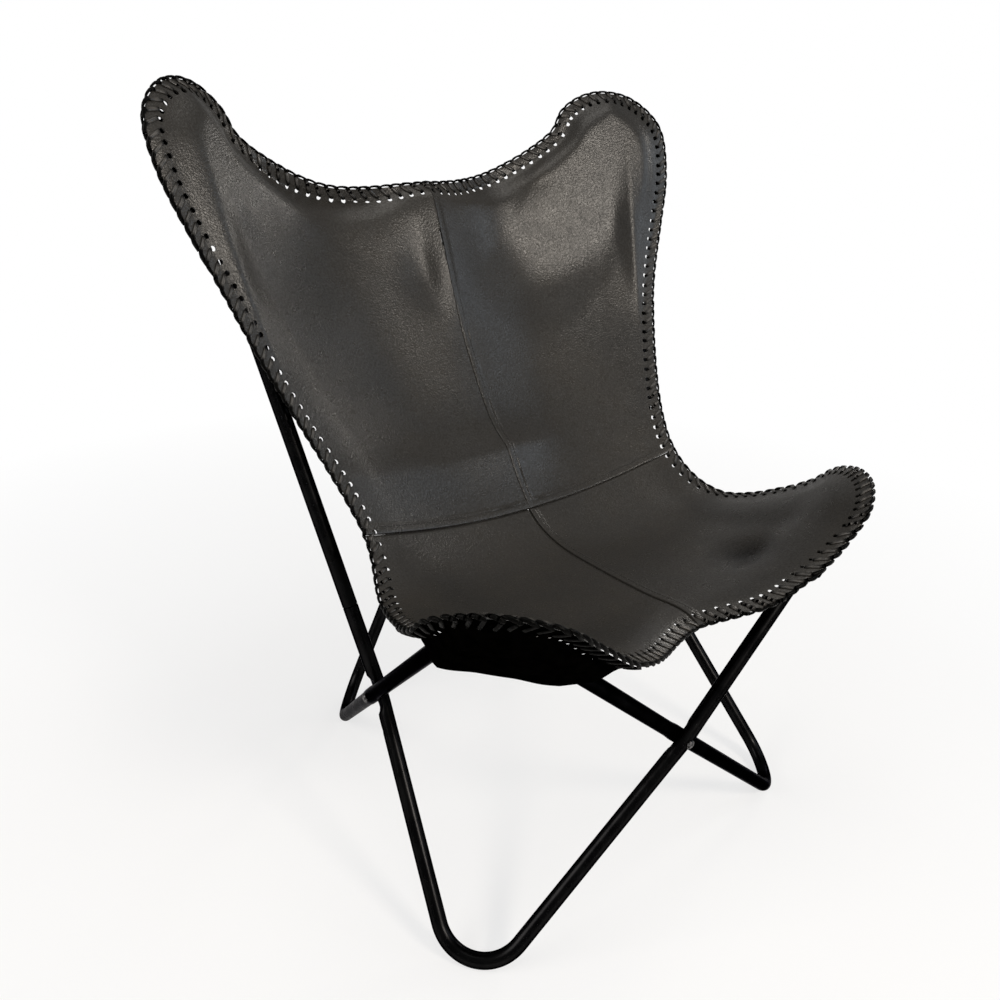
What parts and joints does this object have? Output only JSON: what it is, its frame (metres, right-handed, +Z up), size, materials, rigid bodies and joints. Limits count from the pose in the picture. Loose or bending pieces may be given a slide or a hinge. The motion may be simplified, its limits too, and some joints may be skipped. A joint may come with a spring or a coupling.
{
  "type": "butterfly sling chair",
  "caption": "Low lounge chair: a leather sling with sewn panels and laced edges hangs by ear pockets on two bent tube hoops riveted where they cross.",
  "frame": {"origin": "on the floor, under the middle of the chair's box", "axes": "+Z up, the sitter faces -Y, +X to the sitter's left"},
  "size_m": [0.76, 0.6388, 0.8923],
  "materials": {
    "coat": "satin black powder coat",
    "rivet": "worn dark metal",
    "leather": "oiled charcoal leather",
    "lace": "black leather lace"
  },
  "bodies": {
    "root": {"hoop_left": "coat", "hoop_right": "coat", "back_loop_left": "coat", "back_loop_right": "coat", "rivet_front": "rivet", "rivet_back": "rivet", "rivet_left": "rivet", "rivet_right": "rivet", "panel_back_left": "leather", "panel_back_right": "leather", "panel_seat_left": "leather", "panel_seat_right": "leather", "pocket_back_left": "leather", "pocket_back_right": "leather", "pocket_front_left": "leather", "pocket_front_right": "leather", "lacing_top": "lace", "lacing_front": "lace", "lacing_left": "lace", "lacing_right": "lace"}
  },
  "joints": []
}
